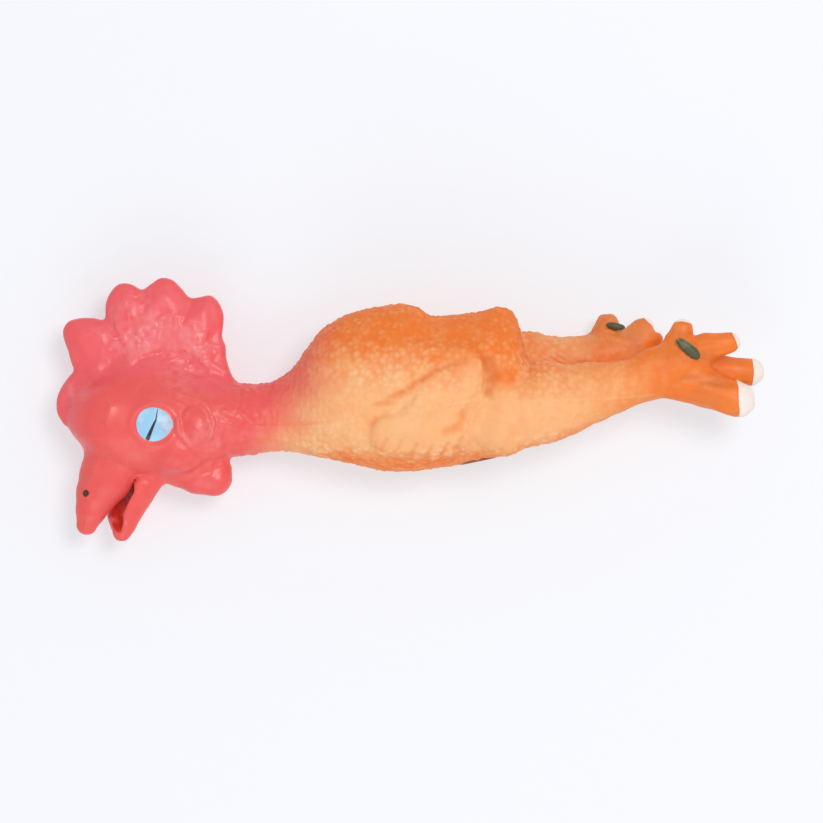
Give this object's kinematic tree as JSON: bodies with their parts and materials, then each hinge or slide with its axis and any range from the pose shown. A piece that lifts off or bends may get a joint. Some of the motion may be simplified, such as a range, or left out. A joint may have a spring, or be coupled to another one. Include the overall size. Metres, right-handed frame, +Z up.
{
  "type": "rubber chicken",
  "caption": "Latex squeaky chicken toy lying on its side, with a bending neck, jaw, legs and feet, a flank that squeezes and a squeaker in its belly.",
  "frame": {"origin": "middle of the flat patch under the body, where the toy rests on the table", "axes": "+X towards the feet, +Y towards the bird's back, +Z up, away from the table, towards the bird's left side"},
  "size_m": [0.2827, 0.1052, 0.0518],
  "materials": {
    "red_latex": "glossy airbrushed latex",
    "peach_latex": "satin pebbled latex",
    "orange_latex": "satin pebbled latex",
    "claw_paint": "satin white paint on latex",
    "spur_paint": "satin dark green paint on latex",
    "eye_paint": "glossy light blue paint on latex, with a dark slit",
    "squeaker_plastic": "moulded brown plastic",
    "reed_film": "thin plastic film"
  },
  "bodies": {
    "torso": {"torso_shell": "peach_latex", "neck_skin": "red_latex", "right_wing": "orange_latex", "tail": "orange_latex", "squeaker_housing": "squeaker_plastic", "squeaker_cap": "squeaker_plastic", "squeaker_reed_plate": "squeaker_plastic", "left_hip_skin": "peach_latex", "right_hip_skin": "peach_latex"},
    "flank": {"left_flank": "peach_latex", "left_wing": "peach_latex"},
    "head": {"head_shell": "red_latex", "comb": "red_latex", "wattle": "red_latex", "left_ear_lobe": "red_latex", "right_ear_lobe": "red_latex", "upper_beak": "red_latex", "left_eye": "eye_paint", "right_eye": "eye_paint"},
    "jaw": {"lower_beak": "red_latex"},
    "reed": {"squeaker_reed": "reed_film"},
    "left_leg": {"left_drumstick": "peach_latex", "left_ankle_skin": "orange_latex"},
    "left_foot": {"left_foot": "orange_latex", "left_inner_toe": "orange_latex", "left_inner_toe_claw": "claw_paint", "left_middle_toe": "orange_latex", "left_middle_toe_claw": "claw_paint", "left_outer_toe": "orange_latex", "left_outer_toe_claw": "claw_paint", "left_hallux": "orange_latex", "left_hallux_claw": "claw_paint", "left_spur": "spur_paint"},
    "right_leg": {"right_drumstick": "peach_latex", "right_ankle_skin": "orange_latex"},
    "right_foot": {"right_foot": "orange_latex", "right_inner_toe": "orange_latex", "right_inner_toe_claw": "claw_paint", "right_middle_toe": "orange_latex", "right_middle_toe_claw": "claw_paint", "right_outer_toe": "orange_latex", "right_outer_toe_claw": "claw_paint", "right_hallux": "orange_latex", "right_hallux_claw": "claw_paint", "right_spur": "spur_paint"}
  },
  "joints": [
    {"name": "neck_bend", "type": "hinge", "parent": "torso", "child": "head", "pos_m": [-0.058, -0.0114, 0.02], "axis": [0, 0, 1], "range_deg": [-35, 35], "stiffness_Nm_per_rad": 0.2, "deforming": ["neck_skin"]},
    {"name": "jaw_open", "type": "hinge", "parent": "head", "child": "jaw", "pos_m": [-0.105, -0.0344, 0.0194], "axis": [0, 0, 1], "range_deg": [-6, 15], "stiffness_Nm_per_rad": 0.03},
    {"name": "belly_squeeze", "type": "slide", "parent": "torso", "child": "flank", "axis": [0, 0, -1], "range_m": [0, 0.008], "stiffness_N_per_m": 400},
    {"name": "reed_flutter", "type": "hinge", "parent": "torso", "child": "reed", "pos_m": [0.0197, -0.0236, 0.022], "axis": [0, 0, 1], "range_deg": [0, 6], "stiffness_Nm_per_rad": 0.0005},
    {"name": "left_hip_bend", "type": "hinge", "parent": "torso", "child": "left_leg", "pos_m": [0.0477, -0.00838, 0.03345], "axis": [0, 0, 1], "range_deg": [-20, 20], "stiffness_Nm_per_rad": 0.2, "deforming": ["left_hip_skin"]},
    {"name": "left_ankle_bend", "type": "hinge", "parent": "left_leg", "child": "left_foot", "pos_m": [0.09525, 0.00522, 0.03168], "axis": [0, 0, 1], "range_deg": [-15, 15], "stiffness_Nm_per_rad": 0.06, "deforming": ["left_ankle_skin"]},
    {"name": "right_hip_bend", "type": "hinge", "parent": "torso", "child": "right_leg", "pos_m": [0.0472, 0.01238, 0.01274], "axis": [0, 0, 1], "range_deg": [-20, 20], "stiffness_Nm_per_rad": 0.2, "deforming": ["right_hip_skin"]},
    {"name": "right_ankle_bend", "type": "hinge", "parent": "right_leg", "child": "right_foot", "pos_m": [0.067, 0.01522, 0.01119], "axis": [0, 0, 1], "range_deg": [-15, 15], "stiffness_Nm_per_rad": 0.06, "deforming": ["right_ankle_skin"]}
  ]
}
